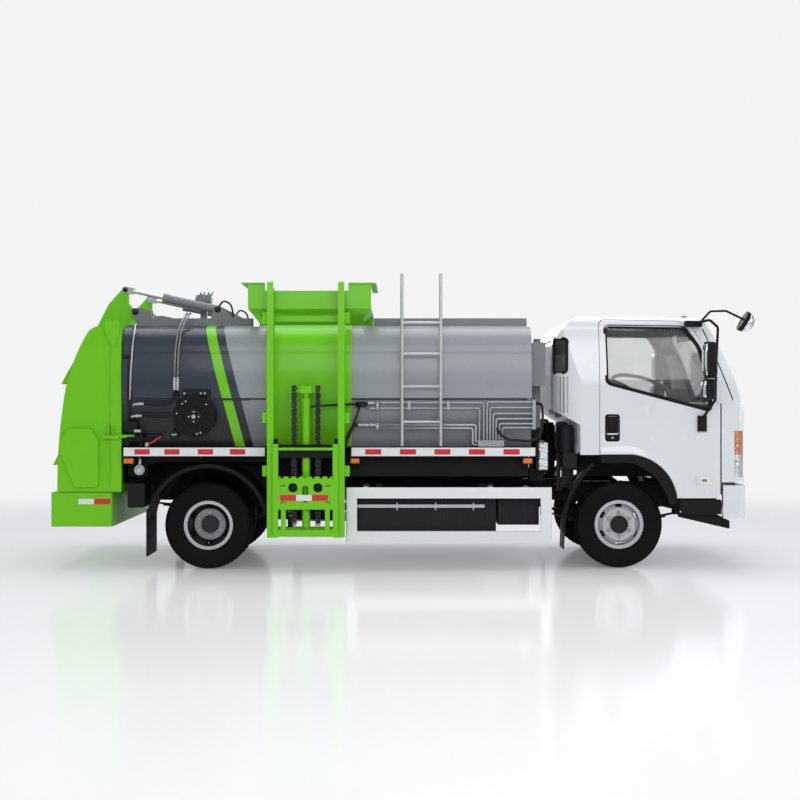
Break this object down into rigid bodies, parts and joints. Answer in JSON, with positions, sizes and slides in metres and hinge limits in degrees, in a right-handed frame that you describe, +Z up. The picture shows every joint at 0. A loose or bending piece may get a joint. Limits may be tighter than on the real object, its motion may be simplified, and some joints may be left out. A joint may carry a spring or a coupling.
{
  "type": "food waste collection truck",
  "caption": "Electric refuse collection truck with a side bin lift, roof hopper, closed load tank, hinged tailgate and tilting cab.",
  "frame": {"origin": "on the ground under the middle of the truck's length and width", "axes": "+X forwards to the cab's nose, +Y to the truck's left, +Z up"},
  "size_m": [6.4781, 2.58, 2.715],
  "materials": {
    "chassis_black": "satin black chassis paint, dusty",
    "cast_black": "black-painted castings and spring leaves",
    "case_black": "semi-matt black battery case",
    "cab_white": "glossy white paint with a clear coat",
    "trim_black": "grained black plastic",
    "tank_grey": "glossy paint: slate at the back, a lime stripe, silver-grey in front",
    "roof_grey": "grey painted steel",
    "bare_aluminium": "bare aluminium tube",
    "pipe_grey": "silver-grey painted pipe",
    "lift_green": "glossy lime-green paint",
    "window_glass": "tinted glass",
    "lamp_lens": "clear and amber lamp lens",
    "seat_fabric": "woven grey seat cloth",
    "interior_grey": "grained dashboard plastic",
    "tyre_rubber": "black tyre rubber",
    "rim_silver": "silver wheel paint",
    "lamp_red": "red lamp lens",
    "bright_rod": "hard-chromed rod",
    "chain_steel": "oiled dark chain steel"
  },
  "bodies": {
    "root": {"chassis_frame": "chassis_black", "body_subframe": "chassis_black", "front_axle_beam": "cast_black", "leaf_springs": "cast_black", "rear_axle_housing": "cast_black", "drive_unit": "cast_black", "battery_pack": "case_black", "side_guards": "cab_white", "mudguards": "trim_black", "bumper_skid": "trim_black", "tank_shell": "tank_grey", "roof_fittings": "roof_grey", "ladder": "bare_aluminium", "hose_reel": "trim_black", "hydraulic_pipes": "pipe_grey", "service_boxes": "roof_grey", "cab_rear_gear": "cast_black", "hopper": "lift_green", "lift_mast": "lift_green"},
    "cab": {"cab_shell": "cab_white", "cab_glass": "window_glass", "front_panel": "cab_white", "headlamps": "lamp_lens", "bumper": "cab_white", "arch_liners": "trim_black", "seats": "seat_fabric", "dashboard": "interior_grey"},
    "door_right": {"door_right": "cab_white", "door_glass_right": "window_glass", "mirrors_right": "trim_black"},
    "door_left": {"door_left": "cab_white", "door_glass_left": "window_glass", "mirrors_left": "trim_black"},
    "knuckle_right": {"knuckle_right": "cast_black"},
    "knuckle_left": {"knuckle_left": "cast_black"},
    "front_wheel_right": {"front_tyre_right": "tyre_rubber", "front_rim_right": "rim_silver"},
    "front_wheel_left": {"front_tyre_left": "tyre_rubber", "front_rim_left": "rim_silver"},
    "rear_wheels_right": {"rear_tyres_right": "tyre_rubber", "rear_rims_right": "rim_silver"},
    "rear_wheels_left": {"rear_tyres_left": "tyre_rubber", "rear_rims_left": "rim_silver"},
    "tailgate": {"tailgate_shell": "lift_green", "tailgate_sump": "lift_green", "tail_lamps": "lamp_red"},
    "tail_cylinder_barrels": {"tail_cylinder_barrels": "roof_grey"},
    "tail_cylinder_rods": {"tail_cylinder_rods": "bright_rod"},
    "sheave_head": {"sheave_head": "lift_green", "hoist_chains": "chain_steel"},
    "lift_carriage": {"lift_carriage": "lift_green"},
    "tipping_frame": {"tipping_frame": "lift_green"}
  },
  "joints": [
    {"name": "cab_tilt", "type": "hinge", "parent": "root", "child": "cab", "pos_m": [3.05, 0, 0.505], "axis": [0, 1, 0], "range_deg": [0, 42]},
    {"name": "door_right_hinge", "type": "hinge", "parent": "cab", "child": "door_right", "pos_m": [2.92, -0.958, 1.3], "axis": [0, 0, 1], "range_deg": [0, 68]},
    {"name": "door_left_hinge", "type": "hinge", "parent": "cab", "child": "door_left", "pos_m": [2.92, 0.958, 1.3], "axis": [0, 0, -1], "range_deg": [0, 68]},
    {"name": "steer_left", "type": "hinge", "parent": "root", "child": "knuckle_left", "pos_m": [2.009, 0.69, 0.405], "axis": [0, 0, 1], "range_deg": [-30, 30]},
    {"name": "steer_right", "type": "hinge", "parent": "root", "child": "knuckle_right", "pos_m": [2.009, -0.69, 0.405], "axis": [0, 0, 1], "range_deg": [-30, 30]},
    {"name": "front_wheel_left_spin", "type": "hinge", "parent": "knuckle_left", "child": "front_wheel_left", "pos_m": [2.009, 0.812, 0.405], "axis": [0, 1, 0], "continuous": true},
    {"name": "front_wheel_right_spin", "type": "hinge", "parent": "knuckle_right", "child": "front_wheel_right", "pos_m": [2.009, -0.812, 0.405], "axis": [0, 1, 0], "continuous": true},
    {"name": "rear_wheels_left_spin", "type": "hinge", "parent": "root", "child": "rear_wheels_left", "pos_m": [-1.791, 0.767, 0.405], "axis": [0, 1, 0], "continuous": true},
    {"name": "rear_wheels_right_spin", "type": "hinge", "parent": "root", "child": "rear_wheels_right", "pos_m": [-1.791, -0.767, 0.405], "axis": [0, 1, 0], "continuous": true},
    {"name": "tailgate_hinge", "type": "hinge", "parent": "root", "child": "tailgate", "pos_m": [-2.534, 0, 2.398], "axis": [0, 1, 0], "range_deg": [0, 70]},
    {"name": "tail_cylinder_swing", "type": "hinge", "parent": "root", "child": "tail_cylinder_barrels", "pos_m": [-1.751, 0, 2.419], "axis": [0, 1, 0], "range_deg": [0, 1.2]},
    {"name": "tail_rod_slide", "type": "slide", "parent": "tail_cylinder_barrels", "child": "tail_cylinder_rods", "axis": [-0.978, 0, 0.2085], "range_m": [-0.2652, 0]},
    {"name": "lift_slide", "type": "slide", "parent": "root", "child": "lift_carriage", "axis": [0, 0, 1], "range_m": [0, 1.24]},
    {"name": "sheave_slide", "type": "slide", "parent": "root", "child": "sheave_head", "axis": [0, 0, 1], "range_m": [0, 0.62]},
    {"name": "frame_tip", "type": "hinge", "parent": "lift_carriage", "child": "tipping_frame", "pos_m": [-0.874, -1.274, 1.15], "axis": [-1, 0, 0], "range_deg": [0, 110]}
  ],
  "couplings": [
    {"joint": "steer_right", "follows": "steer_left", "ratio": 1},
    {"joint": "tail_cylinder_swing", "follows": "tailgate_hinge", "ratio": 0.014143},
    {"joint": "tail_rod_slide", "follows": "tailgate_hinge", "m_per_rad": -0.2169},
    {"joint": "sheave_slide", "follows": "lift_slide", "ratio": 0.5}
  ]
}
